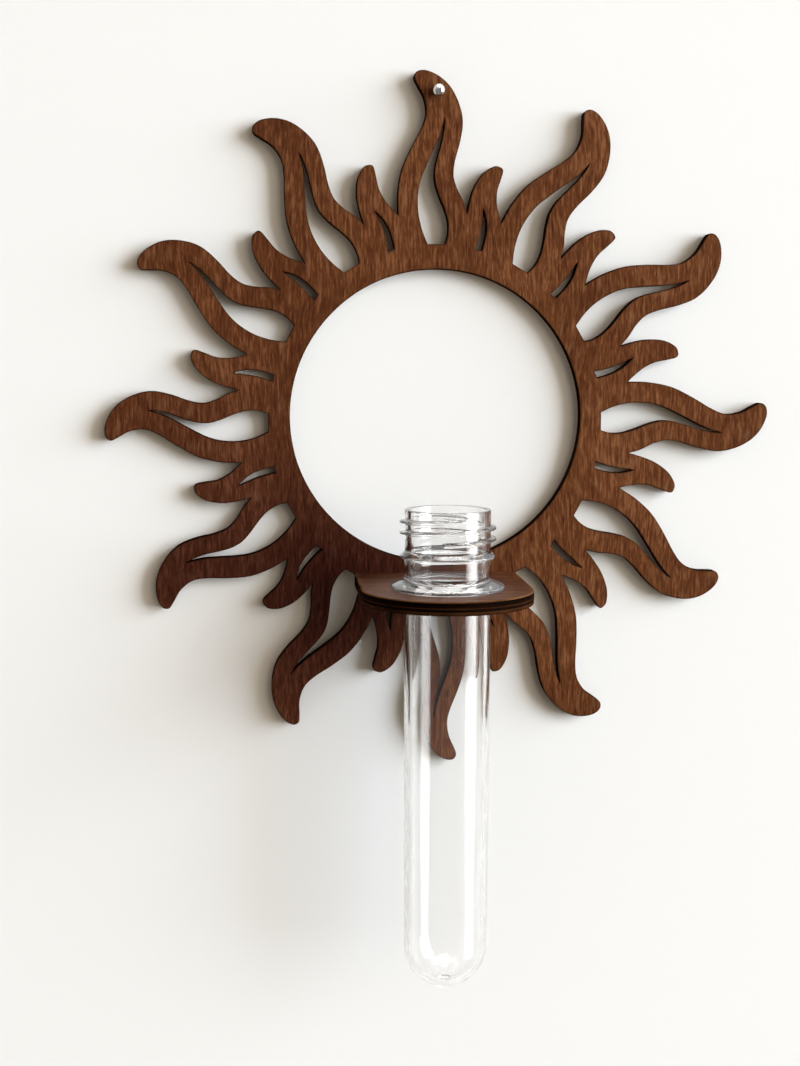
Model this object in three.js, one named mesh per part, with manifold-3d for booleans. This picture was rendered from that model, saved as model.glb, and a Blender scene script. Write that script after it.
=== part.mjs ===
import * as THREE from 'three';
import { mergeVertices } from 'three/addons/utils/BufferGeometryUtils.js';
import Module from 'manifold-3d';

// Millimetres, +Z up, the viewer looks along +Y. Y = 0 is the wall; the nail's axis is X = 0, Z = 0.

// sun panel
const plyThickness = 4;
const sunRadius = 101;
const holeShare = 0.444;
const riseShare = 0.016;
const slitShare = 0.51;
const nailShare = 0.938;
const rayCount = 12;
const sunStretch = 1.048;
const rayTurn = 0.014;

// shelf
const shelfRim = 12.1;
const shelfReach = 33.6;
const tabWidth = 16;
const fitGap = 0.15;

// test tube
const neckDiameter = 24.9;
const wallThickness = 1.6;
const neckHeight = 23.1;
const bodyDiameter = 25.4;
const bodyDraft = 1.0;
const bodyLength = 119.3;
const floorThickness = 1.6;
const collarDiameter = 33;
const collarThickness = 1.2;
const collarRise = 1.2;
const beadDiameter = 27.5;
const beadHeight = 2.2;
const beadLift = 9;
const threadDiameter = 28;
const threadPitch = 3.18;
const threadTurns = 2.1;
const threadWidth = 1.5;
const threadLift = 13.9;
const threadStart = -0.2;
const tubeClearance = 0.3;
const edgeSoft = 0.4;
const gateDiameter = 4;
const gateHeight = 0.85;
const seatGap = 0.05;

// wall nail
const headDiameter = 3.8;
const shankDiameter = 1.6;
const shankInWall = 16;
const shankPoint = 3;
const nailClearance = 0.3;

const sunHole = sunRadius * holeShare;
const holeRise = sunRadius * riseShare;
const sunCentre = -sunRadius * nailShare * sunStretch;
const bandMiddle = (sunHole - holeRise + slitShare * sunRadius * sunStretch) / 2;
const shelfTop = sunCentre - bandMiddle + plyThickness / 2;
const panelFront = -plyThickness;
const tubeY = panelFront - shelfReach;
const tubeBore = neckDiameter / 2 - wallThickness;
const threadHalf = threadWidth * 0.58;
const shelfHole = bodyDiameter / 2 + tubeClearance;
const shelfHalf = shelfHole + shelfRim;

// Ray outlines in hundredths of the sun's radius: along the rim to the right, then outward from the centre.
const longRay = [
  [-10.9, 59.2], [-10.8, 65.2], [-9.4, 72.0], [-6.3, 78.3], [-3.2, 83.5], [-1.5, 87.8], [-1.9, 92.3],
  [-3.8, 96.1], [-4.7, 98.3], [-3.5, 99.9], [-0.6, 100.0], [3.3, 98.2], [6.5, 95.0], [8.7, 90.4],
  [9.5, 85.5], [8.5, 80.0], [6.8, 74.7], [6.2, 70.4], [7.2, 66.6], [9.0, 62.9], [9.9, 59.6],
];
const shortRay = [
  [9.9, 59.6], [10.7, 63.1], [12.3, 67.5], [15.0, 71.4], [18.1, 73.4], [20.0, 73.4], [21.2, 72.3],
  [20.3, 69.2], [19.2, 65.9], [19.1, 61.8], [20.16, 56.7],
];
const longSlit = [
  [-2.1, 51.0], [-3.8, 55.1], [-4.8, 60.0], [-4.7, 64.9], [-3.7, 69.2], [-1.9, 73.2], [-0.1, 76.7],
  [1.8, 80.4], [3.1, 83.5], [4.0, 86.7],
];
const longSlitBack = [
  [4.0, 86.7], [3.8, 83.9], [3.0, 80.2], [1.7, 76.3], [0.6, 72.4], [0.5, 68.6], [1.6, 64.7], [3.0, 61.1],
  [4.0, 57.5], [4.0, 53.9], [3.1, 51.0],
];
const shortSlit = [[12.3, 49.3], [13.4, 52.4], [14.3, 56.3], [14.8, 61.2]];
const shortSlitBack = [[14.8, 61.2], [15.7, 57.5], [15.5, 53.5], [14.3, 49.1]];

// No two rays are quite alike: how far each tip departs from the pattern, clockwise from the top, outward and then
// along the rim to the right, in the same hundredths.
const rayFoot = 57;
const longRays = {
  tip: 100,
  shift: [
    [-0.5, -1.2], [0.6, 0.1], [1.3, 0.5], [3.0, 0.6], [0.6, 0.6], [0.7, 2.8],
    [-1.0, -2.0], [-0.7, -1.8], [-0.8, -0.1], [-0.2, 0.8], [0.2, -0.8], [0, -0.8],
  ],
};
const shortRays = {
  tip: 73.4,
  shift: [
    [-0.7, -0.4], [0.4, 0.4], [1.2, 0.6], [0.7, 0.8], [-0.5, 2.0], [0, 1.3],
    [0, -1.1], [-1.1, -0.4], [-0.4, 0.8], [0.2, 0.5], [0.5, 0.3], [0, -0.6],
  ],
};

// A smooth line through hand-set points, turned to its ray's place round the sun. The ray's own shift grows from
// nothing at the ring to its full measure at the tip.
function rayLine(points, index, steps, kind) {
  const turn = rayTurn - (index * 2 * Math.PI) / rayCount;
  const unit = sunRadius / 100;
  const [further, right] = kind.shift[index];
  const placed = points.map(([along, out]) => {
    const grown = Math.min(1, Math.max(0, (out - rayFoot) / (kind.tip - rayFoot)));
    const point = new THREE.Vector2((along + right * grown) * unit, (out + further * grown) * unit);
    point.rotateAround(new THREE.Vector2(), turn);
    return new THREE.Vector2(point.x, point.y * sunStretch + sunCentre);
  });
  return new THREE.SplineCurve(placed).getPoints(steps * (points.length - 1));
}

function joined(lines) {
  return lines.flatMap((line) => line.slice(0, -1));
}

function circle(x, y, radius, count) {
  const points = [];
  for (let i = 0; i < count; i += 1) {
    const angle = (i * 2 * Math.PI) / count;
    points.push(new THREE.Vector2(x + radius * Math.cos(angle), y + radius * Math.sin(angle)));
  }
  return new THREE.Path(points);
}

function box(x0, y0, x1, y1) {
  const corners = [[x0, y0], [x1, y0], [x1, y1], [x0, y1]];
  return new THREE.Path(corners.map(([x, y]) => new THREE.Vector2(x, y)));
}

function sunPanel() {
  const rays = [...Array(rayCount).keys()];
  const rim = joined(rays.flatMap((i) => [rayLine(longRay, i, 3, longRays), rayLine(shortRay, i, 3, shortRays)]));
  const shape = new THREE.Shape(rim.reverse());
  for (const i of rays) {
    const longEnd = rayLine(longSlitBack, i, 2, longRays);
    const shortEnd = rayLine(shortSlitBack, i, 2, shortRays);
    shape.holes.push(new THREE.Path([...joined([rayLine(longSlit, i, 2, longRays)]), ...longEnd]));
    shape.holes.push(new THREE.Path([...joined([rayLine(shortSlit, i, 2, shortRays)]), ...shortEnd]));
  }
  shape.holes.push(circle(0, sunCentre + holeRise, sunHole, 96));
  shape.holes.push(circle(0, 0, shankDiameter / 2 + nailClearance, 20));
  const half = tabWidth / 2 + fitGap;
  shape.holes.push(box(-half, shelfTop - plyThickness - fitGap, half, shelfTop + fitGap));
  const solid = new THREE.ExtrudeGeometry(shape, { depth: plyThickness, bevelEnabled: false });
  return solid.rotateX(Math.PI / 2);
}

// Plate with a round nose about the tube and a tab that fills the slot in the sun's ring.
function shelf() {
  const back = panelFront - fitGap;
  const half = tabWidth / 2;
  const shape = new THREE.Shape();
  shape.moveTo(-half, 0);
  shape.lineTo(-half, back);
  shape.lineTo(-shelfHalf, back);
  shape.lineTo(-shelfHalf, tubeY);
  shape.absarc(0, tubeY, shelfHalf, Math.PI, 2 * Math.PI, false);
  shape.lineTo(shelfHalf, back);
  shape.lineTo(half, back);
  shape.lineTo(half, 0);
  shape.closePath();
  shape.holes.push(circle(0, tubeY, shelfHole, 60));
  const solid = new THREE.ExtrudeGeometry(shape, { depth: plyThickness, bevelEnabled: false, curveSegments: 24 });
  return solid.translate(0, 0, shelfTop - plyThickness);
}

function arc(radius, height, from, to, count) {
  const points = [];
  for (let i = 0; i <= count; i += 1) {
    const angle = from + ((to - from) * i) / count;
    points.push(new THREE.Vector2(radius * Math.cos(angle), height + radius * Math.sin(angle)));
  }
  return points;
}

// Section of the tube from the outside of its floor, over the rim, to the inside of its floor.
// Height 0 is the underside of the collar, which sits on the shelf.
function tubeSection() {
  const neck = neckDiameter / 2;
  const body = bodyDiameter / 2;
  const end = body - bodyDraft / 2;
  const collar = collarDiameter / 2;
  const bead = beadDiameter / 2;
  const endHeight = end - bodyLength;
  const bore = end - wallThickness;
  const boreHeight = floorThickness + bore - bodyLength;
  const gate = gateDiameter / 2;
  const gateAngle = Math.asin(gate / end) - Math.PI / 2;
  const profile = [
    [0, -bodyLength - gateHeight],
    [gate - gateHeight / 2, -bodyLength - gateHeight],
    [gate, -bodyLength - gateHeight / 2],
    ...arc(end, endHeight, gateAngle, 0, 10),
    [body, 0],
    [collar - edgeSoft, 0],
    [collar, edgeSoft],
    [collar, collarThickness - edgeSoft],
    [collar - edgeSoft, collarThickness],
    [neck + edgeSoft * 2, collarThickness + collarRise],
    [neck + edgeSoft / 2, collarThickness + collarRise + edgeSoft],
    [neck, collarThickness + collarRise + edgeSoft * 2.5],
    [neck, beadLift],
    [bead - edgeSoft, beadLift + edgeSoft / 4],
    [bead, beadLift + edgeSoft],
    [bead - edgeSoft, beadLift + beadHeight * 0.6],
    [neck, beadLift + beadHeight],
    [neck, neckHeight - edgeSoft],
    [neck - edgeSoft, neckHeight],
    [tubeBore + edgeSoft / 2, neckHeight],
    [tubeBore, neckHeight - edgeSoft / 2],
    [tubeBore, 0],
    ...arc(bore, boreHeight, 0, -Math.PI / 2, 10),
  ];
  return profile.map((point) => (Array.isArray(point) ? new THREE.Vector2(...point) : point));
}

// Thread line: climbs to the right as seen from the front and sinks into the neck at both ends.
class ThreadLine extends THREE.Curve {
  getPoint(t, target = new THREE.Vector3()) {
    const fade = Math.min(1, 12 * Math.min(t, 1 - t));
    const crest = threadDiameter / 2 - threadHalf;
    const sunk = tubeBore + threadHalf + seatGap;
    const radius = sunk + (crest - sunk) * Math.sin((fade * Math.PI) / 2);
    const angle = threadStart - Math.PI / 2 + t * threadTurns * 2 * Math.PI;
    const height = threadLift + t * threadTurns * threadPitch;
    return target.set(radius * Math.cos(angle), radius * Math.sin(angle), height);
  }
}

function threadRidge() {
  const outline = new THREE.Shape();
  outline.absellipse(0, 0, threadWidth / 2, threadHalf, 0, 2 * Math.PI, false);
  const steps = Math.round(threadTurns * 36);
  return new THREE.ExtrudeGeometry(outline, { extrudePath: new ThreadLine(), steps, curveSegments: 5 });
}

const wasm = await Module();
wasm.setup();

function toSolid(geometry) {
  const bare = geometry.clone();
  bare.deleteAttribute('normal');
  bare.deleteAttribute('uv');
  const merged = mergeVertices(bare, 1e-4);
  const vertProperties = new Float32Array(merged.attributes.position.array);
  const triVerts = new Uint32Array(merged.index.array);
  return new wasm.Manifold(new wasm.Mesh({ numProp: 3, vertProperties, triVerts }));
}

function toGeometry(solid) {
  const mesh = solid.getMesh();
  const geometry = new THREE.BufferGeometry();
  geometry.setAttribute('position', new THREE.BufferAttribute(mesh.vertProperties, 3));
  geometry.setIndex(new THREE.BufferAttribute(mesh.triVerts, 1));
  geometry.computeVertexNormals();
  return geometry;
}

function testTube() {
  const glass = new THREE.LatheGeometry(tubeSection(), 48).rotateX(Math.PI / 2);
  return toGeometry(toSolid(glass).add(toSolid(threadRidge())));
}

// Round head, cut flat where it meets the shank.
function nailHead() {
  const radius = headDiameter / 2;
  const flat = Math.asin(shankDiameter / 2 / radius);
  const profile = arc(radius, 0, flat - Math.PI / 2, Math.PI / 2, 12);
  const foot = new THREE.Vector2(0, profile[0].y);
  return new THREE.LatheGeometry([foot, ...profile], 24);
}

function nailShank(length) {
  const radius = shankDiameter / 2;
  const profile = [[0, -length], [radius, shankPoint - length], [radius, 0], [0, 0]];
  return new THREE.LatheGeometry(profile.map((point) => new THREE.Vector2(...point)), 20);
}

function piece(name, geometry, look) {
  const mesh = new THREE.Mesh(geometry, new THREE.MeshStandardMaterial(look));
  mesh.name = name;
  return mesh;
}

const walnutPly = { color: '#6c4228', roughness: 0.62, metalness: 0 };
const darkPly = { color: '#55321f', roughness: 0.6, metalness: 0 };
const clearPet = { color: '#e6ecee', roughness: 0.05, metalness: 0, transparent: true, opacity: 0.4 };
const nickel = { color: '#cfd2d4', roughness: 0.18, metalness: 1 };
const steel = { color: '#9a9da0', roughness: 0.35, metalness: 1 };

const station = new THREE.Group();
station.name = 'propagation_station';
station.add(piece('sun_panel', sunPanel(), walnutPly));
station.add(piece('shelf', shelf(), darkPly));

const tube = piece('test_tube', testTube(), clearPet);
tube.position.set(0, tubeY, shelfTop + seatGap);
station.add(tube);

const headFlat = Math.sqrt((headDiameter / 2) ** 2 - (shankDiameter / 2) ** 2);
const headY = panelFront - nailClearance - headDiameter / 2;
const shankFront = headY + headFlat + seatGap;
const head = piece('nail_head', nailHead(), nickel);
head.position.set(0, headY, 0);
head.rotation.set(Math.PI, 0, 0);
station.add(head);

const shank = piece('nail_shank', nailShank(shankInWall - shankFront), steel);
shank.position.set(0, shankFront, 0);
shank.rotation.set(Math.PI, 0, 0);
station.add(shank);

export default station;
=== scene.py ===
import math

import bpy
import numpy as np
from mathutils import Matrix, Vector
from mathutils.geometry import tessellate_polygon


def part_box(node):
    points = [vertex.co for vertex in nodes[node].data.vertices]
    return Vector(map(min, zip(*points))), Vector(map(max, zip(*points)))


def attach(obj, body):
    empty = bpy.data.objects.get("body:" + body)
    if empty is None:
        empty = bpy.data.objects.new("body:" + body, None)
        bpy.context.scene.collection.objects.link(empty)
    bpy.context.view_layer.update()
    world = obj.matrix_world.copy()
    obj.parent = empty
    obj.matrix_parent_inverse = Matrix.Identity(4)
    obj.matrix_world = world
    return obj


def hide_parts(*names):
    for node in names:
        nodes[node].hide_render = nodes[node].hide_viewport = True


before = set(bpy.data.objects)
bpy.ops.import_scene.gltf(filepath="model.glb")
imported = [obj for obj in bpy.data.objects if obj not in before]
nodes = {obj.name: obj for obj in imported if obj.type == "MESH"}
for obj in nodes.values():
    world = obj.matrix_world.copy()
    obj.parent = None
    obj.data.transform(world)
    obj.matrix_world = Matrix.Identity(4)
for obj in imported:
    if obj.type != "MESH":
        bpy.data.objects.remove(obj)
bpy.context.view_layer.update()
scene = bpy.context.scene
scene.view_settings.view_transform = "Standard"
mm = 0.001
print("frame loaded:", ", ".join(sorted(nodes)))


def paint(code):  # sRGB hex to linear
    part = np.array([int(code[i:i + 2], 16) for i in (1, 3, 5)]) / 255
    flat = np.where(part <= 0.04045, part / 12.92, ((part + 0.055) / 1.055) ** 2.4)
    return (*flat.tolist(), 1.0)


# one node: settings are its own properties, inputs are sockets to link or plain values, stops are the
# colours of a ramp
def addNode(tree, kind, inputs=None, stops=None, **settings):
    node = tree.nodes.new("ShaderNode" + kind)
    for name, value in settings.items():
        setattr(node, name, value)
    for key, value in (inputs or {}).items():
        if isinstance(value, bpy.types.NodeSocket):
            tree.links.new(value, node.inputs[key])
        else:
            node.inputs[key].default_value = value
    for index, (place, code) in enumerate(stops or []):
        marks = node.color_ramp.elements
        mark = marks[index] if index < len(marks) else marks.new(place)
        mark.position = place
        mark.color = paint(code)
    return node


def newFinish(name):
    finish = bpy.data.materials.new(name)
    finish.use_nodes = True
    finish.node_tree.nodes.clear()
    return finish, finish.node_tree


# a finished piece from points in mm: it stands for a CAD node and moves with that node's body
def addPiece(name, points, faces, finish, node, body, sharp=40):
    mesh = bpy.data.meshes.new(name)
    mesh.from_pydata((points * mm).tolist(), [], [face for part in faces for face in part.tolist()])
    mesh.shade_smooth()
    mesh.set_sharp_from_angle(angle=math.radians(sharp))
    mesh.materials.append(finish)
    piece = bpy.data.objects.new(name, mesh)
    scene.collection.objects.link(piece)
    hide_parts(node)
    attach(piece, body)
    print(f"{name}: {len(points)} points")
    return piece


# stained birch plywood, laser cut and lacquered satin: upright streaks about 1 mm wide, short dark pores and
# paler flecks on the face, black char on the cut edge with the plies showing through
plyLook = {
    "ramp": [(0.38, "#462413"), (0.46, "#5c341c"), (0.52, "#673d22"), (0.61, "#875737")],
    "drift": (26.0, 26.0, 50.0), "driftBy": (6.0, 0, 0),  # mm
    "patterns": {  # what it follows, mm across, into and along the grain, and the noise's settings
        "streak": ("drift", (0.8, 2.2, 11.0), {"Detail": 5.0, "Roughness": 0.62, "Distortion": 0.3}),
        "fibre": ("drift", (0.5, 0.9, 3.2), {"Detail": 3.0}),
        "pores": ("drift", (0.5, 0.8, 4.2), {"Detail": 1.0}),
        "flecks": ("drift", (2.0, 4.0, 9.0), {"Detail": 2.0}),
        "cloud": ("grain", (34.0, 34.0, 60.0), {"Detail": 2.0}),
        "smoke": ("board", (9.0, 9.0, 9.0), {"Detail": 3.0}),
    },
    "tone": {"streak": 0.38, "fibre": 0.42, "cloud": 0.2},  # share of each in the ramp
    "spots": {"flecks": (0.56, 0.74, 0.45, "#986b4a"), "pores": (0.58, 0.72, 0.6, "#381a0e")},
    "soot": (0.42, 0.68, 0.8, "#080403"),  # as spots: noise at start and at fullest, its most, its colour
    "charLess": -0.25, "char": 1.1,  # thinner where the cloud is thick
    "streakFrom": 0.3, "streakTo": 0.7, "roughest": 0.52, "smoothest": 0.4, "charRough": 0.25,
    "poreDepth": -0.7, "bump": 0.35, "bumpDeep": 0.12, "sheen": 0.07,
}


def plyFinish(name, piece, faceAt, rearAt):
    finish, tree = newFinish(name)
    look = plyLook
    spot = addNode(tree, "TexCoord").outputs["Object"]
    inMm = addNode(tree, "VectorMath", {0: spot, "Scale": 1 / mm}, operation="SCALE").outputs[0]
    grain = addNode(tree, "Mapping", {"Vector": inMm, "Rotation": piece["grainTurn"]}).outputs[0]

    # the grain drifts sideways by a slow noise, and a pattern is noise in units of its own size
    scale = tuple(1 / part for part in look["drift"])
    slow = addNode(tree, "VectorMath", {0: grain, 1: scale}, operation="MULTIPLY").outputs[0]
    push = addNode(tree, "TexNoise", {"Vector": slow, "Scale": 1.0, "Detail": 2.0}).outputs["Color"]
    drift = addNode(tree, "VectorMath", {0: push, 1: look["driftBy"], 2: grain}, operation="MULTIPLY_ADD")
    routes = {"board": inMm, "grain": grain, "drift": drift.outputs[0]}
    noise = {}
    for key, (route, size, settings) in look["patterns"].items():
        scale = tuple(1 / part for part in size)
        place = addNode(tree, "VectorMath", {0: routes[route], 1: scale}, operation="MULTIPLY").outputs[0]
        noise[key] = addNode(tree, "TexNoise", {"Vector": place, "Scale": 1.0, **settings}).outputs[0]

    tone = 0.0
    for key, share in look["tone"].items():
        tone = addNode(tree, "Math", {0: noise[key], 1: share, 2: tone}, operation="MULTIPLY_ADD").outputs[0]
    wood = addNode(tree, "ValToRGB", {0: tone}, stops=look["ramp"]).outputs[0]
    cover = {}
    for key, (start, full, most, code) in look["spots"].items():
        cover[key] = addNode(tree, "MapRange", {0: noise[key], 1: start, 2: full, 4: most}).outputs[0]
        wood = addNode(tree, "Mix", {0: cover[key], 6: wood, 7: paint(code)}, data_type="RGBA").outputs[2]

    # painted shade round a few spots: each darkens the wood fully within one reach and not at all past the
    # next
    for at, full, none, code in piece["paintedShadeSpots"]:
        reach = addNode(tree, "VectorMath", {0: inMm, 1: at}, operation="DISTANCE").outputs["Value"]
        depth = addNode(tree, "MapRange", {0: reach, 1: full, 2: none, 3: 1.0, 4: 0.0},
                        interpolation_type="SMOOTHSTEP").outputs[0]
        wood = addNode(tree, "Mix", {0: depth, 6: wood, 7: paint(code)}, data_type="RGBA",
                       blend_type="MULTIPLY").outputs[2]

    # cut edge: plies by their depth under the face, blackened by the laser
    across = addNode(tree, "SeparateXYZ", {0: inMm}).outputs[piece["depthAxis"]]
    share = addNode(tree, "MapRange", {0: across, 1: faceAt, 2: rearAt}).outputs[0]
    edge = addNode(tree, "ValToRGB", {0: share}, stops=piece["plies"]).outputs[0]
    start, full, most, code = look["soot"]
    sooty = addNode(tree, "MapRange", {0: noise["smoke"], 1: start, 2: full, 4: most}).outputs[0]
    edge = addNode(tree, "Mix", {0: sooty, 6: edge, 7: paint(code)}, data_type="RGBA").outputs[2]
    scorch = addNode(tree, "Attribute", attribute_name="char").outputs["Fac"]
    uneven = addNode(tree, "Math", {0: noise["cloud"], 1: look["charLess"], 2: look["char"]},
                     operation="MULTIPLY_ADD").outputs[0]
    burnt = addNode(tree, "Math", {0: scorch, 1: uneven}, operation="MULTIPLY", use_clamp=True).outputs[0]
    colour = addNode(tree, "Mix", {0: burnt, 6: wood, 7: edge}, data_type="RGBA").outputs[2]

    gloss = addNode(tree, "MapRange", {0: noise["streak"], 1: look["streakFrom"], 2: look["streakTo"],
                                       3: look["roughest"], 4: look["smoothest"]}).outputs[0]
    dull = addNode(tree, "Math", {0: burnt, 1: look["charRough"], 2: gloss},
                   operation="MULTIPLY_ADD").outputs[0]
    relief = addNode(tree, "Math", {0: cover["pores"], 1: look["poreDepth"], 2: tone},
                     operation="MULTIPLY_ADD").outputs[0]
    bump = addNode(tree, "Bump", {"Strength": look["bump"], "Distance": look["bumpDeep"] * mm,
                                  "Height": relief}).outputs[0]
    sheen = addNode(tree, "Math", {0: burnt, 1: -look["sheen"], 2: look["sheen"]},
                    operation="MULTIPLY_ADD").outputs[0]
    shade = addNode(tree, "BsdfPrincipled", {"Base Color": colour, "Roughness": dull, "Normal": bump,
                                             "Specular IOR Level": sheen}).outputs[0]
    addNode(tree, "OutputMaterial", {0: shade})
    return finish


# smooth line through points (uniform Catmull-Rom): each span is the cubic that keeps half the chord of its
# neighbours as slope, sampled in equal steps
def spline(points, steps):
    point = np.array(points, float)
    ends = np.concatenate([point[:1], point, point[-1:]])
    p0, p1, p2, p3 = (ends[i:len(ends) - 3 + i, None] for i in range(4))
    t = (np.arange(steps) / steps)[None, :, None]
    slope, nextSlope = (p2 - p0) / 2, (p3 - p1) / 2
    curve = (2 * (p1 - p2) + slope + nextSlope) * t ** 3 + (3 * (p2 - p1) - 2 * slope - nextSlope) * t ** 2
    return np.concatenate([(curve + slope * t + p1).reshape(-1, 2), point[-1:]])


# circle: points at equal angles about the centre
def ring(centre, radius, count):
    angle = np.arange(count) * 2 * np.pi / count
    return np.c_[centre[0] + radius * np.cos(angle), centre[1] + radius * np.sin(angle)]


# loops are wound so that the wood lies on their left: the rim anticlockwise, openings clockwise
def wound(loop, isRim):
    ahead = np.roll(loop, -1, axis=0)
    area = np.sum(loop[:, 0] * ahead[:, 1] - ahead[:, 0] * loop[:, 1])
    return loop if (area > 0) == isRim else loop[::-1]


# plate cut from a board: a profile of (inset, depth, char) rows carried along every cut line, and both faces
# filled. A row's points are the line moved sideways into the wood by the inset, along the mean of the two
# edge normals and so much further that both edges keep the inset, except at corners sharper than the limit.
def cutPlate(loops, profile, place, mitreLimit=0.6):
    inset, depth, scorch = np.array(profile, float).T
    rows, grids, faces, first = len(inset), [], [], 0
    for loop in loops:
        edge = np.roll(loop, -1, axis=0) - loop
        edge /= np.linalg.norm(edge, axis=1, keepdims=True)
        normal = np.c_[-edge[:, 1], edge[:, 0]]
        middle = normal + np.roll(normal, 1, axis=0)
        middle /= np.linalg.norm(middle, axis=1, keepdims=True)
        middle /= np.maximum(np.sum(middle * normal, axis=1, keepdims=True), mitreLimit)
        flat = loop[None] + inset[:, None, None] * middle[None]
        deep = np.broadcast_to(depth[:, None, None], (rows, len(loop), 1))
        grids.append(np.concatenate([flat, deep], axis=2))
        index = first + np.arange(rows * len(loop)).reshape(rows, -1)
        side = np.roll(index, -1, axis=1)
        faces.append(np.stack([index[:-1], index[1:], side[1:], side[:-1]], axis=-1).reshape(-1, 4))
        first += index.size
    starts = np.cumsum([0] + [grid.shape[0] * grid.shape[1] for grid in grids])
    for row, front in ((0, True), (rows - 1, False)):
        lines = [np.c_[grid[row, :, :2], np.zeros(grid.shape[1])] for grid in grids]
        numbers = [start + row * len(line) + np.arange(len(line)) for start, line in zip(starts, lines)]
        flat = np.concatenate(lines)
        fill = np.array(tessellate_polygon([line.tolist() for line in lines]))
        a, b, c = flat[fill[:, 0]], flat[fill[:, 1]], flat[fill[:, 2]]
        turn = (b - a)[:, 0] * (c - a)[:, 1] - (b - a)[:, 1] * (c - a)[:, 0]
        fill[(turn > 0) != front] = fill[(turn > 0) != front][:, ::-1]
        faces.append(np.concatenate(numbers)[fill])
    points = np.concatenate([grid.reshape(-1, 3) for grid in grids])
    burn = np.concatenate([np.repeat(scorch, grid.shape[1]) for grid in grids])
    return place(points), faces, burn


def addChar(piece, burn):
    layer = piece.data.attributes.new("char", "FLOAT", "POINT")
    layer.data.foreach_set("value", burn.astype(np.float32))


edgeLook = {"arris": [0, 30, 60, 90], "tintAt": 0.6, "tint": 0.08, "glueAt": (0.25, 0.75), "glueHalf": 0.1}


# edge profile: a scorched margin on the face, an arris rounded by a quarter circle, the wall with a fine
# groove at each glue line, and the same arris behind
def edgeProfile(look):
    soft, thick, margin, half = look["soft"], look["thick"], look["margin"], edgeLook["glueHalf"]
    turn = np.radians(edgeLook["arris"])
    arris = np.c_[soft - soft * np.sin(turn), soft - soft * np.cos(turn), look["scorch"]]
    face = [[margin, 0, 0], [margin * edgeLook["tintAt"], 0, edgeLook["tint"]]]
    groove = ((0, -half), (look["groove"], 0), (0, half))
    lines = [[cut, at * thick + off, 1] for at in edgeLook["glueAt"] for cut, off in groove]
    rear = arris[::-1] * [1, -1, 1] + [0, thick, 0]
    return [*face, *arris.tolist(), *lines, *rear.tolist(), [margin, thick, 0]]


sunLook = {
    "radius": 101, "stretch": 1.048, "turn": 0.014, "rays": 12, "rayFoot": 57,
    "nailShare": 0.938, "holeShare": 0.444, "riseShare": 0.016, "nailHole": 1.1,
    "slotHalf": 8.15, "slotTall": 4.3, "holeSides": 192, "nailSides": 32,
    "grainTurn": (0, 0, 0), "depthAxis": "Y",
    "thick": 4, "soft": 0.24, "margin": 0.8, "groove": 0.06, "scorch": [0.3, 0.85, 1, 1],
    # painted shadow of the shelf and tube, deepest under the shelf at the lower left; the third spot darkens
    # the left side
    "paintedShadeSpots": [((-62, -4, -160), 10.0, 105.0, "#baacc9"), ((-24, -4, -152), 6.0, 42.0, "#b09cae"),
               ((-110, -4, -20), 40.0, 190.0, "#ebe6e6")],
    "plies": [(0.0, "#24130a"), (0.2, "#2c170d"), (0.23, "#0c0604"), (0.28, "#140a06"), (0.5, "#1c0f09"),
              (0.72, "#100805"), (0.77, "#0a0503"), (0.8, "#2c170d"), (1.0, "#24130a")],
}
# lines are in hundredths of the radius, along the rim to the right and then outward from the centre; no two
# rays are quite alike, and shift is how far each tip departs, clockwise from the top, outward and then to
# the right
longRays = {
    "tip": 100, "outlineSteps": 4, "slitSteps": 3,
    "outline": [
        (-10.9, 59.2), (-10.8, 65.2), (-9.4, 72.0), (-6.3, 78.3), (-3.2, 83.5), (-1.5, 87.8), (-1.9, 92.3),
        (-3.8, 96.1), (-4.7, 98.3), (-3.5, 99.9), (-0.6, 100.0), (3.3, 98.2), (6.5, 95.0), (8.7, 90.4),
        (9.5, 85.5), (8.5, 80.0), (6.8, 74.7), (6.2, 70.4), (7.2, 66.6), (9.0, 62.9), (9.9, 59.6),
    ],
    "slit": [
        (-2.1, 51.0), (-3.8, 55.1), (-4.8, 60.0), (-4.7, 64.9), (-3.7, 69.2), (-1.9, 73.2), (-0.1, 76.7),
        (1.8, 80.4), (3.1, 83.5), (4.0, 86.7),
    ],
    "slitBack": [
        (4.0, 86.7), (3.8, 83.9), (3.0, 80.2), (1.7, 76.3), (0.6, 72.4), (0.5, 68.6), (1.6, 64.7),
        (3.0, 61.1), (4.0, 57.5), (4.0, 53.9), (3.1, 51.0),
    ],
    "shift": [
        (-0.5, -1.2), (0.6, 0.1), (1.3, 0.5), (3.0, 0.6), (0.6, 0.6), (0.7, 2.8),
        (-1.0, -2.0), (-0.7, -1.8), (-0.8, -0.1), (-0.2, 0.8), (0.2, -0.8), (0, -0.8),
    ],
}
shortRays = {
    "tip": 73.4, "outlineSteps": 4, "slitSteps": 4,
    "outline": [
        (9.9, 59.6), (10.7, 63.1), (12.3, 67.5), (15.0, 71.4), (18.1, 73.4), (20.0, 73.4), (21.2, 72.3),
        (20.3, 69.2), (19.2, 65.9), (19.1, 61.8), (20.16, 56.7),
    ],
    "slit": [(12.3, 49.3), (13.4, 52.4), (14.3, 56.3), (14.8, 61.2)],
    "slitBack": [(14.8, 61.2), (15.7, 57.5), (15.5, 53.5), (14.3, 49.1)],
    "shift": [
        (-0.7, -0.4), (0.4, 0.4), (1.2, 0.6), (0.7, 0.8), (-0.5, 2.0), (0, 1.3),
        (0, -1.1), (-1.1, -0.4), (-0.4, 0.8), (0.2, 0.5), (0.5, 0.3), (0, -0.6),
    ],
}
sunMiddle = -sunLook["radius"] * sunLook["nailShare"] * sunLook["stretch"]
holeMiddle = sunMiddle + sunLook["radius"] * sunLook["riseShare"]
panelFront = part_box("sun_panel")[0].y / mm
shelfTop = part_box("shelf")[1].z / mm


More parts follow.
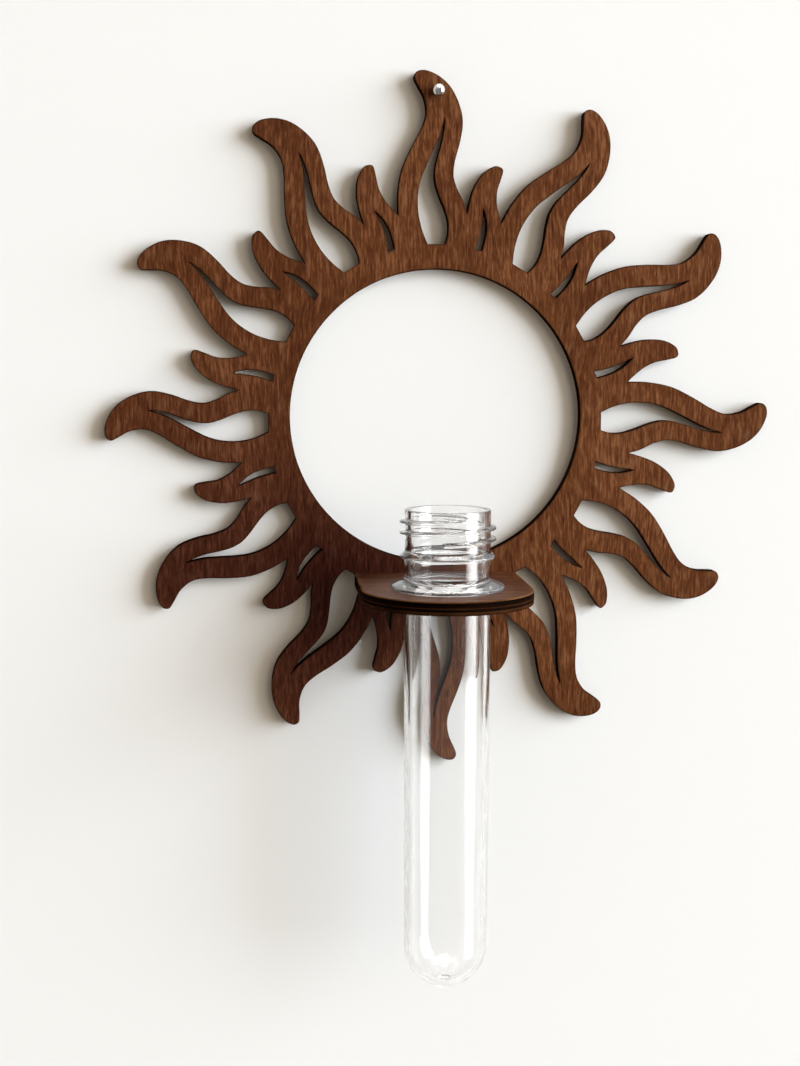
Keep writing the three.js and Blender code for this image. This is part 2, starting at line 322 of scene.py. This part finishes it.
# every ray is the same line, moved by its own shift in the measure it leaves the ring, turned round the
# centre in equal steps and then stretched upward
def sunLines(line, kind):
    unit, foot = sunLook["radius"] / 100, sunLook["rayFoot"]
    turn = (sunLook["turn"] - np.arange(sunLook["rays"]) * 2 * np.pi / sunLook["rays"])[:, None]
    grown = np.clip((line[:, 1] - foot) / (kind["tip"] - foot), 0, 1)
    further, right = np.array(kind["shift"], float).T[:, :, None]
    along, out = line[:, 0] + right * grown, line[:, 1] + further * grown
    x = (along * np.cos(turn) - out * np.sin(turn)) * unit
    z = (along * np.sin(turn) + out * np.cos(turn)) * unit * sunLook["stretch"] + sunMiddle
    return np.stack([x, z], axis=-1)


flames, openings = [], []
for kind in (longRays, shortRays):
    flames.append(sunLines(spline(kind["outline"], kind["outlineSteps"])[:-1], kind))
    there, back = (spline(kind[side], kind["slitSteps"]) for side in ("slit", "slitBack"))
    openings.extend(sunLines(np.concatenate([there[:-1], back]), kind))
rim = np.concatenate(flames, axis=1).reshape(-1, 2)
slotHalf, slotTall = sunLook["slotHalf"], sunLook["slotTall"]
slotTop = shelfTop + (slotTall - sunLook["thick"]) / 2
slotLow = slotTop - slotTall
openings.append(ring((0, holeMiddle), sunLook["radius"] * sunLook["holeShare"], sunLook["holeSides"]))
openings.append(ring((0, 0), sunLook["nailHole"], sunLook["nailSides"]))
slotLine = [(-slotHalf, slotLow), (slotHalf, slotLow), (slotHalf, slotTop), (-slotHalf, slotTop)]
openings.append(np.array(slotLine))
sunLoops = [wound(rim, True), *(wound(loop, False) for loop in openings)]
points, faces, burn = cutPlate(sunLoops, edgeProfile(sunLook),
                               lambda p: np.c_[p[:, 0], panelFront + p[:, 2], p[:, 1]])
sunPly = plyFinish("walnutStainedPly", sunLook, panelFront, panelFront + sunLook["thick"])
sunPiece = addPiece("sunPanel", points, faces, sunPly, "sun_panel", "station")
addChar(sunPiece, burn)

shelfLook = {
    "half": 25.1, "hole": 13.0, "tabHalf": 8, "gap": 0.15, "sides": 96,
    "thick": 4, "soft": 0.35, "margin": 1.1, "groove": 0.12, "scorch": [0.75, 0.95, 1, 1],
    "grainTurn": (0, math.pi / 2, 0), "depthAxis": "Z",
    # painted shadow of the tube on the shelf to its left, and painted shade in the shelf's corner with the
    # panel
    "paintedShadeSpots": [((-20, -30, -146), 12.0, 80.0, "#b0a498"), ((-34, -4, -146), 5.0, 40.0, "#b5a8a4")],
    "plies": [(0.0, "#7c5738"), (0.07, "#5f3f27"), (0.11, "#070403"), (0.42, "#0a0503"), (0.5, "#3a2212"),
              (0.56, "#080403"), (0.7, "#0c0604"), (0.75, "#3e2513"), (0.88, "#382010"), (1.0, "#1c0f08")],
}
tubeLow, tubeHigh = (np.array(corner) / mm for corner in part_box("test_tube"))
tubeY = (tubeLow[1] + tubeHigh[1]) / 2

# round nose about the tube, straight sides back to the panel, and a tab into the slot
back, half, tab = panelFront - shelfLook["gap"], shelfLook["half"], shelfLook["tabHalf"]
nose = ring((0, tubeY), half, shelfLook["sides"])[shelfLook["sides"] // 2:]
tabLine = [(tab, back), (tab, 0), (-tab, 0), (-tab, back), (-half, back)]
shelfRim = np.concatenate([tabLine, nose, [(half, tubeY), (half, back)]])
tubeHole = ring((0, tubeY), shelfLook["hole"], shelfLook["sides"])
points, faces, burn = cutPlate([wound(shelfRim, True), wound(tubeHole, False)], edgeProfile(shelfLook),
                               lambda p: np.c_[p[:, :2], shelfTop - p[:, 2]])
shelfPly = plyFinish("walnutStainedShelfPly", shelfLook, shelfTop, shelfTop - shelfLook["thick"])
shelfPiece = addPiece("shelfPlate", points, faces, shelfPly, "shelf", "station")
addChar(shelfPiece, burn)


# turned skin: radius and height rows swept round the axis in equal angles, closed by a point at each end
def turnedSkin(radius, height, columns):
    angle = np.arange(columns) * 2 * np.pi / columns
    wide = np.broadcast_to(radius[1:-1].reshape(len(radius) - 2, -1), (len(radius) - 2, columns))
    tall = np.broadcast_to(height[1:-1, None], wide.shape)
    skin = np.stack([wide * np.cos(angle), wide * np.sin(angle), tall], axis=-1).reshape(-1, 3)
    points = np.concatenate([[(0, 0, height[0])], skin, [(0, 0, height[-1])]])
    index = 1 + np.arange(len(skin)).reshape(wide.shape)
    side = np.roll(index, -1, axis=1)
    quads = np.stack([index[:-1], side[:-1], side[1:], index[1:]], axis=-1).reshape(-1, 4)
    foot = np.stack([np.zeros(columns, int), side[0], index[0]], axis=-1)
    head = np.stack([np.full(columns, len(points) - 1), index[-1], side[-1]], axis=-1)
    return points, [quads, foot, head]


# line with each corner eased into a parabola that starts and ends at most reach away from it, and never past
# a set share of the leg
def softLine(corners, reach, count=6, legShare=0.45):
    corner = np.array(corners, float)
    before, middle, after = corner[:-2], corner[1:-1], corner[2:]
    t = np.linspace(0, 1, count)[None, :, None]
    legs = []
    for end in (before, after):
        leg = end - middle
        length = np.linalg.norm(leg, axis=1, keepdims=True)
        most = np.minimum(np.array(reach)[:, None], length * legShare)
        legs.append((middle + leg / length * most)[:, None])
    curve = legs[0] * (1 - t) ** 2 + 2 * middle[:, None] * t * (1 - t) + legs[1] * t ** 2
    return np.concatenate([corner[:1], curve.reshape(-1, 2), corner[-1:]])


# heights are counted from the underside of the collar
tubeLook = {
    "columns": 192, "neck": 12.45, "bore": 10.85, "boreFrom": 20, "neckTop": 23.1, "rimSoft": [0.45, 0.3],
    "body": 12.7, "end": 12.2, "length": 119.3, "endSteps": 48,
    "floor": 1.6, "lowBore": 10.6, "floorSteps": 40,
    "gate": 2.0, "gateTall": 0.85, "gateSink": 0.1, "gateSoft": [0.4],
    "collar": 16.5, "collarTall": 1.2, "collarRise": 1.2, "filletWide": 0.7, "filletTall": 1,
    "bead": 13.7, "beadAt": 8.9, "beadTall": 2.2, "beadFlat": (0.2, 0.9),
    "outsideSoft": [0.25, 0.4, 0.5, 0.6, 0.5, 0.25, 0.35, 0.4, 0.4],
    "wallFoot": 1, "wallFrom": 1.1, "wallShort": 0.6, "wallRows": 110, "slack": 0.01, "ringFrom": 0.35,
    "thread": {"crest": 14.0, "pitch": 3.18, "turns": 2.1, "lift": 13.9, "start": -0.2, "root": 0.74,
               "top": 0.16, "fade": 12},
}
beadTop = tubeLook["beadAt"] + tubeLook["beadTall"]


# moulded tube: its section goes from the gate mark up the outside, over the rim and down the bore to the
# floor
def tubeSection():
    t = tubeLook
    low, top = -t["length"] - t["gateTall"], -t["length"]
    gate = softLine([(0, low), (t["gate"], low), (t["gate"], top + t["gateSink"])], t["gateSoft"])
    angle = np.linspace(math.asin(t["gate"] / t["end"]) - math.pi / 2, 0, t["endSteps"])
    belly = np.c_[t["end"] * np.cos(angle), t["end"] - t["length"] + t["end"] * np.sin(angle)]
    neck, collar, tall, bead, at = t["neck"], t["collar"], t["collarTall"], t["bead"], t["beadAt"]
    root = tall + t["collarRise"]
    flatLow, flatHigh = t["beadFlat"]
    corners = [belly[-1], (t["body"], 0), (collar, 0), (collar, tall), (neck + t["filletWide"], root),
               (neck, root + t["filletTall"]), (neck, at), (bead, at + flatLow), (bead, at + flatHigh),
               (neck, beadTop), (neck, beadTop + t["wallFoot"])]
    outside = softLine(corners, t["outsideSoft"])
    wallHeight = np.linspace(beadTop + t["wallFrom"], t["neckTop"] - t["wallShort"], t["wallRows"])
    wall = np.c_[np.full(t["wallRows"], neck), wallHeight]
    mouth = softLine([wall[-1], (neck, t["neckTop"]), (t["bore"], t["neckTop"]), (t["bore"], t["boreFrom"])],
                     t["rimSoft"])
    turn = np.linspace(0, -math.pi / 2, t["floorSteps"])
    lowAt = t["floor"] + t["lowBore"] - t["length"]
    inside = np.c_[t["lowBore"] * np.cos(turn), lowAt + t["lowBore"] * np.sin(turn)]
    return np.concatenate([gate[:-1], belly[:-1], outside, wall, mouth[1:], [(t["bore"], 0)], inside])


# the thread climbs one pitch a turn: at each angle and height the wall is pushed out by a smooth step of the
# distance to the nearest thread line, and the push fades over the first and last twelfth of the thread
def threadPush(height, columns):
    thread = tubeLook["thread"]
    angle = np.arange(columns) * 2 * np.pi / columns
    begun = (angle - thread["start"] + math.pi / 2) % (2 * math.pi) / (2 * math.pi)
    lap = begun[None, :, None] + np.arange(math.ceil(thread["turns"]))
    run = lap / thread["turns"]
    fade = np.sin(np.clip(thread["fade"] * np.minimum(run, 1 - run), 0, 1) * math.pi / 2)
    away = np.abs(height[:, None, None] - thread["lift"] - lap * thread["pitch"])
    step = np.clip((thread["root"] - away) / (thread["root"] - thread["top"]), 0, 1)
    return np.max(step ** 2 * (3 - 2 * step) * fade, axis=2) * (thread["crest"] - tubeLook["neck"])


section = tubeSection()
section[0, 0] = section[-1, 0] = 0
onNeck = (section[:, 0] > tubeLook["neck"] - tubeLook["slack"]) & (section[:, 1] > beadTop)
push = threadPush(section[:, 1], tubeLook["columns"])
radius = section[:, 0, None] + np.where(onNeck[:, None], push, 0)
points, faces = turnedSkin(radius, section[:, 1], tubeLook["columns"])
points = points + [0, tubeY, tubeHigh[2] - tubeLook["neckTop"]]

# clear PET, injection moulded: glass-like walls with a faint upright ripple that makes the streaks of light
# waver; the solid rings of collar and bead get a less clear, paler copy: painted light for what they catch
petLook = {
    "tint": "#ffffff", "roughness": 0.02, "ior": 1.57, "mirror": "#bcbcbc", "shadow": "#fdfdfd",
    "ripple": (7.0, 7.0, 90.0), "rippleBump": 0.015, "rippleDeep": 0.3, "wallClear": 1.0, "ringPaintedPale": 0.9,
}


def petFinish(name, clearness):
    finish, tree = newFinish(name)
    spot = addNode(tree, "TexCoord").outputs["Object"]
    scale = tuple(1 / (part * mm) for part in petLook["ripple"])
    rippleAt = addNode(tree, "VectorMath", {0: spot, 1: scale}, operation="MULTIPLY").outputs[0]
    ripple = addNode(tree, "TexNoise", {"Vector": rippleAt, "Scale": 1.0, "Detail": 1.0}).outputs[0]
    wave = addNode(tree, "Bump", {"Strength": petLook["rippleBump"], "Distance": petLook["rippleDeep"] * mm,
                                  "Height": ripple}).outputs[0]
    plastic = {
        "Base Color": paint(petLook["tint"]), "Specular Tint": paint(petLook["mirror"]), "Normal": wave,
        "Roughness": petLook["roughness"], "IOR": petLook["ior"], "Transmission Weight": clearness,
    }
    body = addNode(tree, "BsdfPrincipled", plastic).outputs[0]
    through = addNode(tree, "BsdfTransparent", {"Color": paint(petLook["shadow"])}).outputs[0]
    isShadow = addNode(tree, "LightPath").outputs["Is Shadow Ray"]
    both = addNode(tree, "MixShader", {0: isShadow, 1: body, 2: through}).outputs[0]
    addNode(tree, "OutputMaterial", {0: both})
    return finish


wallPet = petFinish("clearMouldedPet", petLook["wallClear"])
tubePiece = addPiece("tubeWall", points, faces, wallPet, "test_tube", "tube", sharp=75)
tubePiece.data.materials.append(petFinish("paintedPaleRingPet", petLook["ringPaintedPale"]))
# faces of the collar and bead take the paler copy, painted light
corner = faces[0] - 1
wide = radius[1:-1].reshape(-1)[corner].mean(axis=1)
tall = section[1:-1, 1][corner[:, 0] // tubeLook["columns"]]
inRing = (wide > tubeLook["neck"] + tubeLook["ringFrom"]) & (tall < beadTop)
ringFaces = np.concatenate([inRing, np.zeros(len(faces[1]) + len(faces[2]), bool)]).astype(np.int32)
tubePiece.data.polygons.foreach_set("material_index", ringFaces)

# nail: a ball with a small flat where the shank meets it, turned so that its axis points out of the wall
nailLook = {
    "ball": 1.9, "flat": 0.8, "rows": 40, "columns": 64, "nickel": "#d6d5d1", "haze": 0.6,
    "smoothest": 0.08, "roughest": 0.2, "bump": 0.08, "bumpDeep": 0.05,
}
flatEdge = math.asin(nailLook["flat"] / nailLook["ball"]) - math.pi / 2
turn = np.linspace(flatEdge, math.pi / 2, nailLook["rows"])
arc = np.c_[nailLook["ball"] * np.cos(turn), nailLook["ball"] * np.sin(turn)]
ball = np.concatenate([[(0, arc[0, 1])], arc])
ball[-1, 0] = 0
points, faces = turnedSkin(ball[:, 0], ball[:, 1], nailLook["columns"])
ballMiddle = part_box("nail_head")[0].y / mm + nailLook["ball"]
points = np.c_[points[:, 0], ballMiddle - points[:, 2], points[:, 1]]

# bright nickel plate over a pressed head: a soft mirror with faint polishing haze
nickel, tree = newFinish("brightNickelPlate")
spot = addNode(tree, "TexCoord").outputs["Object"]
hazeScale = 1 / (nailLook["haze"] * mm)
haze = addNode(tree, "TexNoise", {"Vector": spot, "Scale": hazeScale, "Detail": 3.0}).outputs[0]
soft = addNode(tree, "MapRange", {0: haze, 3: nailLook["smoothest"], 4: nailLook["roughest"]}).outputs[0]
dint = addNode(tree, "Bump", {"Strength": nailLook["bump"], "Distance": nailLook["bumpDeep"] * mm,
                              "Height": haze}).outputs[0]
metal = addNode(tree, "BsdfPrincipled", {"Base Color": paint(nailLook["nickel"]), "Metallic": 1.0,
                                         "Roughness": soft, "Normal": dint}).outputs[0]
addNode(tree, "OutputMaterial", {0: metal})
addPiece("nailBall", points, faces, nickel, "nail_head", "nail")

# drawn steel wire: fine lines along the shank
shankLook = {
    "line": (0.15, 6, 0.15), "tints": [(0.3, "#8b8e90"), (0.7, "#a3a6a8")],
    "smoothest": 0.25, "roughest": 0.45, "bump": 0.2, "bumpDeep": 0.03,
}
steel, tree = newFinish("drawnSteelWire")
spot = addNode(tree, "TexCoord").outputs["Object"]
scale = tuple(1 / (part * mm) for part in shankLook["line"])
lineAt = addNode(tree, "VectorMath", {0: spot, 1: scale}, operation="MULTIPLY").outputs[0]
lines = addNode(tree, "TexNoise", {"Vector": lineAt, "Scale": 1.0, "Detail": 3.0}).outputs[0]
tint = addNode(tree, "ValToRGB", {0: lines}, stops=shankLook["tints"]).outputs[0]
soft = addNode(tree, "MapRange", {0: lines, 3: shankLook["smoothest"], 4: shankLook["roughest"]}).outputs[0]
score = addNode(tree, "Bump", {"Strength": shankLook["bump"], "Distance": shankLook["bumpDeep"] * mm,
                               "Height": lines}).outputs[0]
metal = addNode(tree, "BsdfPrincipled", {"Base Color": tint, "Metallic": 1.0, "Roughness": soft,
                                         "Normal": score}).outputs[0]
addNode(tree, "OutputMaterial", {0: metal})
nodes["nail_shank"].data.materials.clear()
nodes["nail_shank"].data.materials.append(steel)
print("pieces made")

# wall: matt white paint with the faint stipple of a roller, one-sided so that the back of the part can be
# seen; it casts no shadow, so a lamp behind it reaches the part's back
wallLook = {"half": 1.5, "behind": 0.4, "paint": "#faf9f6", "stipple": 2.5, "bump": 0.04, "bumpDeep": 0.2}
wallMesh = bpy.data.meshes.new("paintedWall")
side, at = wallLook["half"], wallLook["behind"] * mm
wallCorners = [(-side, at, -side), (side, at, -side), (side, at, side), (-side, at, side)]
wallMesh.from_pydata(wallCorners, [], [(0, 1, 2, 3)])
wall = bpy.data.objects.new("paintedWall", wallMesh)
scene.collection.objects.link(wall)
wallPaint, tree = newFinish("mattWallPaint")
spot = addNode(tree, "TexCoord").outputs["Object"]
stippleScale = 1 / (wallLook["stipple"] * mm)
stipple = addNode(tree, "TexNoise", {"Vector": spot, "Scale": stippleScale, "Detail": 2.0}).outputs[0]
rough = addNode(tree, "Bump", {"Strength": wallLook["bump"], "Distance": wallLook["bumpDeep"] * mm,
                               "Height": stipple}).outputs[0]
coat = addNode(tree, "BsdfDiffuse", {"Color": paint(wallLook["paint"]), "Normal": rough}).outputs[0]
clear = addNode(tree, "BsdfTransparent").outputs[0]
behind = addNode(tree, "NewGeometry").outputs["Backfacing"]
isShadow = addNode(tree, "LightPath").outputs["Is Shadow Ray"]
unseen = addNode(tree, "Math", {0: behind, 1: isShadow}, operation="MAXIMUM").outputs[0]
addNode(tree, "OutputMaterial", {0: addNode(tree, "MixShader", {0: unseen, 1: coat, 2: clear}).outputs[0]})
wallMesh.materials.append(wallPaint)

# a broad cool window on the right and a warmer screen in front light the wall, and a soft lamp behind shows
# the back; a tall pane and a bright ceiling show only as the pale streaks on tube and nail, and foot is the
# share of light left at their lower end
lampLook = {
    "window": {"at": (7.6, -2.7, 1.7), "size": (8.1, 5.9), "watts": 1795, "colour": "#eaf4ff", "foot": None},
    "screen": {"at": (2.3, -4.2, 1.2), "size": (3.2, 4.2), "watts": 73, "colour": "#f6e7d0", "foot": None},
    "pane": {"at": (4.7, -2.1, 0.6), "size": (4.2, 8.0), "watts": 2050, "colour": "#ffffff", "foot": 0.18},
    "ceiling": {"at": (0.4, -0.8, 3.0), "size": (4.0, 2.6), "watts": 650, "colour": "#ffffff", "foot": 1.0},
    "backFill": {"at": (0.3, 0.9, 0.4), "size": (0.8, 0.8), "watts": 9, "colour": "#ffffff", "foot": None},
}
lampAim = Vector((0, 0, -0.12))
# shares of a streak lamp: how far from its middle it has faded and is full, and how high its foot reaches
streakLook = {"middle": 0.5, "faded": 0.5, "full": 0.15, "footEnd": 0.12, "footTop": 0.27}
for name, look in lampLook.items():
    lamp = bpy.data.lights.new(name, "AREA")
    lamp.shape = "RECTANGLE"
    lamp.size, lamp.size_y = look["size"]
    lamp.energy = look["watts"]
    lamp.color = paint(look["colour"])[:3]
    isStreak = look["foot"] is not None
    if isStreak:  # full in the middle, faded at the sides, and never seen straight through the tube
        lamp.use_nodes = True
        tree = lamp.node_tree
        surface = addNode(tree, "NewGeometry").outputs["Parametric"]
        across = addNode(tree, "SeparateXYZ", {0: surface}).outputs
        off = addNode(tree, "Math", {0: across[0], 1: streakLook["middle"]}, operation="SUBTRACT").outputs[0]
        apart = addNode(tree, "Math", {0: off}, operation="ABSOLUTE").outputs[0]
        fade = addNode(tree, "MapRange", {0: apart, 1: streakLook["faded"], 2: streakLook["full"]},
                       interpolation_type="SMOOTHSTEP").outputs[0]
        rise = addNode(tree, "MapRange", {0: across[1], 1: streakLook["footEnd"], 2: streakLook["footTop"],
                                          3: look["foot"], 4: 1.0},
                       interpolation_type="SMOOTHSTEP").outputs[0]
        fade = addNode(tree, "Math", {0: fade, 1: rise}, operation="MULTIPLY").outputs[0]
        turned = addNode(tree, "LightPath").outputs["Glossy Depth"]
        turned = addNode(tree, "Math", {0: turned, 1: 1.0}, operation="MINIMUM").outputs[0]
        glow = addNode(tree, "Math", {0: fade, 1: turned}, operation="MULTIPLY").outputs[0]
        tree.links.new(glow, tree.nodes["Emission"].inputs["Strength"])
    lampObject = bpy.data.objects.new(name, lamp)
    towards = (lampAim - Vector(look["at"])).to_track_quat("-Z", "Y")
    lampObject.matrix_world = Matrix.Translation(look["at"]) @ towards.to_matrix().to_4x4()
    lampObject.visible_camera = False
    lampObject.visible_diffuse = not isStreak
    lampObject.visible_glossy = isStreak
    lampObject.visible_transmission = isStreak
    scene.collection.objects.link(lampObject)
scene.cycles.caustics_reflective = False  # the tube's shadow stays even
scene.cycles.caustics_refractive = False

# the room: for light it is warm and dim, more from the sides than from the front; it is pale where it is
# seen or looked at through the tube, and mirrored bright above, paler at the sides and dim in front, away
# from its window
roomLook = {
    "light": "#ffecd4", "lightSide": 0.5, "lightFront": 0.1, "colour": "#f6f5f3", "seen": 0.9,
    "brightWay": (0, 1, 1.2), "dimmest": -0.95, "brightest": 0.6, "front": 0.26, "above": 0.95,
}
room = bpy.data.worlds.new("room")
room.use_nodes = True
room.node_tree.nodes.clear()
tree = room.node_tree
path = addNode(tree, "LightPath").outputs
compass = addNode(tree, "TexCoord").outputs["Generated"]
facing = addNode(tree, "VectorMath", {0: compass, 1: roomLook["brightWay"]}, operation="DOT_PRODUCT")
mirrored = addNode(tree, "MapRange", {
    0: facing.outputs["Value"], 1: roomLook["dimmest"], 2: roomLook["brightest"],
    3: roomLook["front"], 4: roomLook["above"]}).outputs[0]
straight = addNode(tree, "Math", {0: path["Is Transmission Ray"], 1: path["Glossy Depth"]},
                   operation="SUBTRACT", use_clamp=True).outputs[0]
seen = addNode(tree, "Math", {0: path["Is Camera Ray"], 1: straight}, operation="MAXIMUM").outputs[0]
shown = addNode(tree, "Mix", {0: seen, 2: mirrored, 3: roomLook["seen"]}).outputs[0]
pale = addNode(tree, "Background", {"Color": paint(roomLook["colour"]), "Strength": shown}).outputs[0]
depth = addNode(tree, "SeparateXYZ", {0: compass}).outputs[1]
outward = addNode(tree, "Math", {0: depth}, operation="ABSOLUTE").outputs[0]
spread = addNode(tree, "MapRange", {0: outward, 3: roomLook["lightSide"], 4: roomLook["lightFront"]})
warm = {"Color": paint(roomLook["light"]), "Strength": spread.outputs[0]}
dim = addNode(tree, "Background", warm).outputs[0]
sharp = addNode(tree, "Math", {0: path["Is Glossy Ray"], 1: path["Is Transmission Ray"]},
                operation="MAXIMUM").outputs[0]
looked = addNode(tree, "Math", {0: path["Is Camera Ray"], 1: sharp}, operation="MAXIMUM").outputs[0]
addNode(tree, "OutputWorld", {0: addNode(tree, "MixShader", {0: looked, 1: dim, 2: pale}).outputs[0]})
scene.world = room

# camera: to the left of the part and a little above, half a metre away; scale is the photo's pixels to a mm
# at the target, and tall its height in pixels
viewLook = {
    "yaw": 4.9, "pitch": 6.75, "roll": 0.21, "away": 500, "target": (-10.66, 0, -134.05), "scale": 3.205,
    "tall": 1066, "sensor": 36, "nearest": 0.01,
}
yaw, pitch, roll = (math.radians(viewLook[key]) for key in ("yaw", "pitch", "roll"))
ahead = Vector((math.sin(yaw) * math.cos(pitch), math.cos(yaw) * math.cos(pitch), -math.sin(pitch)))
right = Vector((math.cos(yaw), -math.sin(yaw), 0))
up = right.cross(ahead)
right, up = right * math.cos(roll) + up * math.sin(roll), up * math.cos(roll) - right * math.sin(roll)
lens = bpy.data.cameras.new("camera")
lens.sensor_width = viewLook["sensor"]
lens.lens = viewLook["sensor"] * viewLook["scale"] * viewLook["away"] / viewLook["tall"]
lens.clip_start = viewLook["nearest"]
camera = bpy.data.objects.new("camera", lens)
eye = (Vector(viewLook["target"]) - ahead * viewLook["away"]) * mm
camera.matrix_world = Matrix.Translation(eye) @ Matrix((right, up, -ahead)).transposed().to_4x4()
scene.collection.objects.link(camera)
scene.camera = camera
print("wall, lamps and camera set")

bpy.context.view_layer.update()
